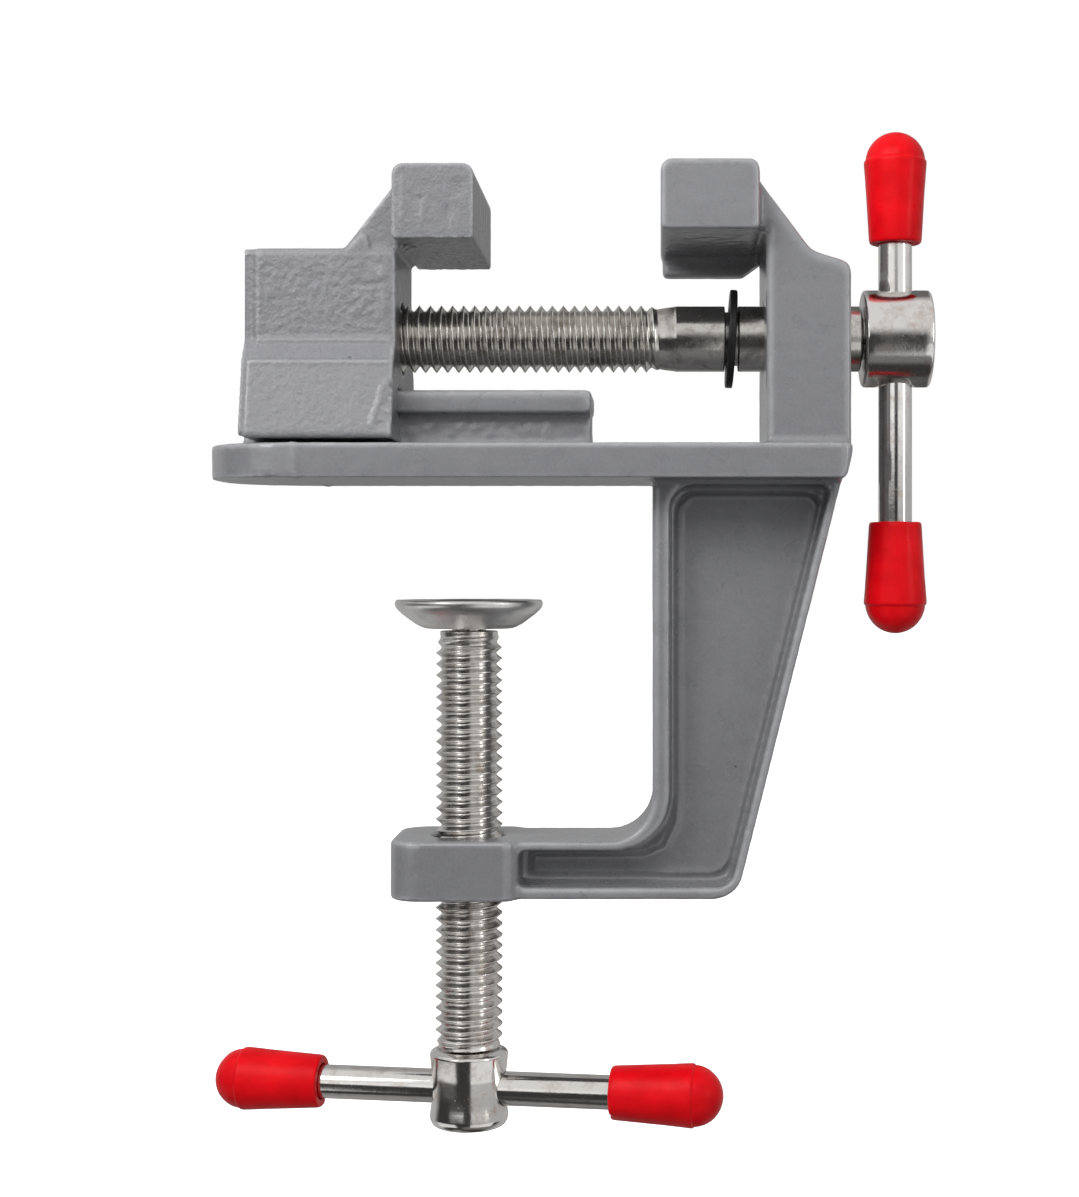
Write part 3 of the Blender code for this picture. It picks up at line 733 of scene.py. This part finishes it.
def add_camera():
    width, height = FRAME_SIZE
    data = bpy.data.cameras.new("camera")
    camera = bpy.data.objects.new("camera", data)
    bpy.context.scene.collection.objects.link(camera)
    camera.location = Vector(CAMERA_AT) * MM
    camera.rotation_euler = (math.pi / 2, 0.0, 0.0)
    data.sensor_width = SENSOR
    focal_pixels = PIXELS_PER_MM * -CAMERA_AT[1]
    data.lens = focal_pixels / height * SENSOR
    data.shift_x = (0.5 - AXIS_IN_PICTURE[0]) * width / height
    data.shift_y = AXIS_IN_PICTURE[1] - 0.5
    data.clip_start = 0.01
    data.clip_end = 100.0
    bpy.context.scene.camera = camera


def add_light(name, at, towards, size, power):
    """A rectangular light, placed and aimed in metres."""
    data = bpy.data.lights.new(name, "AREA")
    data.shape = "RECTANGLE"
    data.size, data.size_y = size
    data.energy = power
    light = bpy.data.objects.new(name, data)
    bpy.context.scene.collection.objects.link(light)
    light.location = at
    direction = Vector(towards) - Vector(at)
    light.rotation_euler = direction.to_track_quat("-Z", "Y").to_euler()
    return light


def band(tree, value, low, high, soft):
    """1 while value lies in low..high, in degrees, and 0 outside, over a soft edge."""
    rise = ramp(tree, value, math.radians(low - soft), math.radians(low), 0.0, 1.0)
    fall = ramp(tree, value, math.radians(high), math.radians(high + soft), 1.0, 0.0)
    return times(tree, rise, fall)


def add_up(tree, *values):
    total = values[0]
    for value in values[1:]:
        total = math_node(tree, "ADD", total, value)
    return total


def grey_of(tree, level):
    colour = tree.nodes.new("ShaderNodeCombineColor")
    for channel in ("Red", "Green", "Blue"):
        tree.links.new(level, colour.inputs[channel])
    return colour.outputs["Color"]


def soft_light(tree, direction):
    """What shades the surfaces: little from below, most from the upper front."""
    strongest = Vector((-0.2, -0.85, 0.48)).normalized()
    dot = tree.nodes.new("ShaderNodeVectorMath")
    dot.operation = "DOT_PRODUCT"
    tree.links.new(direction, dot.inputs[0])
    dot.inputs[1].default_value = strongest
    facing = math_node(tree, "MAXIMUM", dot.outputs["Value"], 0.0)
    level = math_node(tree, "MULTIPLY_ADD", math_node(tree, "POWER", facing, 1.6), 0.33)
    level.node.inputs[2].default_value = 0.31
    return grey_of(tree, level)


def degrees_ramp(tree, value, low, high, from_value, to_value):
    return ramp(tree, value, math.radians(low), math.radians(high), from_value, to_value)


def reflected_front(tree, azimuth, height):
    """The studio's front half, each part a band of azimuth and height in degrees.

    A bright ceiling, bright walls beside a dark stand, a dark table and a pale floor.
    """
    ceiling = degrees_ramp(tree, height, 2, 22, 0.0, 0.85)
    below = degrees_ramp(tree, height, 2, 22, 1.0, 0.0)
    walls = add_up(tree, times(tree, band(tree, azimuth, -50, -13, 8), 1.15),
                   times(tree, band(tree, azimuth, 15, 56, 8), 1.05),
                   times(tree, band(tree, azimuth, 60, 128, 10), 0.6))
    over_table = degrees_ramp(tree, height, -3, 2, 0.0, 1.0)
    table = times(tree, degrees_ramp(tree, azimuth, 5, 12, 0.04, 0.5), band(tree, height, -18, -3, 4))
    beside = add_up(tree, band(tree, azimuth, -110, -39, 6), band(tree, azimuth, 12, 80, 8))
    floor = times(tree, times(tree, beside, 0.85), band(tree, height, -42, -21, 5))
    deep = times(tree, band(tree, height, -60, -44, 12), degrees_ramp(tree, azimuth, -30, -5, 0.04, 0.2))
    steep = times(tree, band(tree, height, -86, -66, 5), degrees_ramp(tree, azimuth, -60, -30, 0.28, 0.0))
    stand = times(tree, band(tree, azimuth, -9, 8, 4), 0.93)
    lower = times(tree, add_up(tree, times(tree, walls, over_table), table, floor),
                  math_node(tree, "SUBTRACT", 1.0, stand))
    return add_up(tree, ceiling, times(tree, add_up(tree, lower, deep, steep), below))


def reflected_studio(tree, direction):
    """What shiny parts mirror, by azimuth and height. The back is dim, and darkest below the horizon."""
    split = tree.nodes.new("ShaderNodeSeparateXYZ")
    tree.links.new(direction, split.inputs["Vector"])
    ahead = times(tree, split.outputs["Y"], -1.0)
    azimuth = math_node(tree, "ARCTAN2", split.outputs["X"], ahead)
    height = math_node(tree, "ARCSINE", split.outputs["Z"], 0.0)
    front = reflected_front(tree, azimuth, height)
    side = ramp(tree, split.outputs["X"], 0.04, 0.12, 1.0, 0.4)
    straight = times(tree, degrees_ramp(tree, height, -5, 6, 0.24, 0.38), side)
    aslant = ramp(tree, math_node(tree, "ABSOLUTE", split.outputs["X"], 0.0), 0.18, 0.32, 0.0, 1.0)
    back = add_up(tree, times(tree, straight, math_node(tree, "SUBTRACT", 1.0, aslant)),
                  times(tree, aslant, 0.5))
    behind = ramp(tree, split.outputs["Y"], 0.1, 0.42, 0.0, 1.0)
    level = add_up(tree, times(tree, front, math_node(tree, "SUBTRACT", 1.0, behind)),
                   times(tree, back, behind))
    return grey_of(tree, math_node(tree, "MAXIMUM", level, 0.045))


def add_surround():
    """Soft light on the surfaces, a studio to mirror and plain white behind the object."""
    world = bpy.data.worlds.new("studio")
    bpy.context.scene.world = world
    world.use_nodes = True
    tree = world.node_tree
    background = tree.nodes["Background"]
    direction = tree.nodes.new("ShaderNodeTexCoord").outputs["Generated"]
    path = tree.nodes.new("ShaderNodeLightPath")
    lit = blend_colours(tree, path.outputs["Is Glossy Ray"], soft_light(tree, direction),
                        reflected_studio(tree, direction))
    colour = blend_colours(tree, path.outputs["Is Camera Ray"], lit, (1.0, 1.0, 1.0))
    tree.links.new(colour, background.inputs["Color"])
    background.inputs["Strength"].default_value = 1.0


def add_studio():
    """A pale floor out of the clamp screw's reach, a soft surround and a soft box over the front."""
    add_surround()
    floor_z = cad_low[2] - FLOOR_DROP
    bpy.ops.mesh.primitive_circle_add(vertices=96, radius=6.0, fill_type="NGON",
                                      location=(0.0, 0.0, floor_z))
    floor = bpy.context.object
    floor.name = "floor"
    floor.data.materials.append(floor_paper())
    floor.visible_diffuse = False
    floor.visible_glossy = False
    middle = (0.01, 0.0, -0.02)
    key = add_light("key", (-0.08, -0.22, 0.19), middle, (0.36, 0.16), 1.0)
    key.visible_glossy = False
    add_light("left_box", (-0.5, -0.6, 0.45), middle, (0.16, 0.3), 0.8)
    add_light("right_box", (0.75, -0.45, 0.15), middle, (0.12, 0.5), 0.7)
    bpy.context.scene.view_settings.view_transform = "Standard"


# ------------------------------------------------ assembling

add_camera()
add_studio()

paint = cast_paint("cast_paint", 0.00002)
rough_paint = cast_paint("rough_cast_paint", 0.00026)
bright = plated_steel("bright_steel", (0.74, 0.72, 0.70), (0.55, 0.47, 0.42), (0.10, 0.22),
                      (900.0, 900.0, 900.0), 0.000006)
bright_thread = plated_steel("bright_thread", (0.70, 0.68, 0.66), (0.42, 0.38, 0.34), (0.16, 0.30),
                             (700.0, 700.0, 1500.0), 0.00001)
bar_upright = plated_steel("bar_upright", (0.74, 0.72, 0.70), (0.60, 0.54, 0.49), (0.10, 0.2),
                           (1500.0, 1500.0, 60.0), 0.000008)
bar_across = plated_steel("bar_across", (0.74, 0.72, 0.70), (0.60, 0.54, 0.49), (0.10, 0.2),
                          (60.0, 1500.0, 1500.0), 0.000008)
oiled = plated_steel("oiled_steel", (0.60, 0.58, 0.55), (0.34, 0.31, 0.28), (0.14, 0.30),
                     (500.0, 900.0, 900.0), 0.00001)
satin = plated_steel("satin_steel", (0.72, 0.71, 0.70), (0.60, 0.58, 0.57), (0.30, 0.40),
                     (900.0, 900.0, 900.0), 0.00001)
red = red_plastic()
black = black_steel()

casting("cast_frame", "base_frame", [web_panels()], FRAME_VOXEL, frame_texture, "frame", paint)
casting("cast_jaw", "sliding_jaw", [], JAW_VOXEL, jaw_texture, "jaw", rough_paint)
add_vise_screw()
add_vise_drum()
add_ring()
add_clamp_screw()
add_clamp_drum()
add_pad()
add_handles()
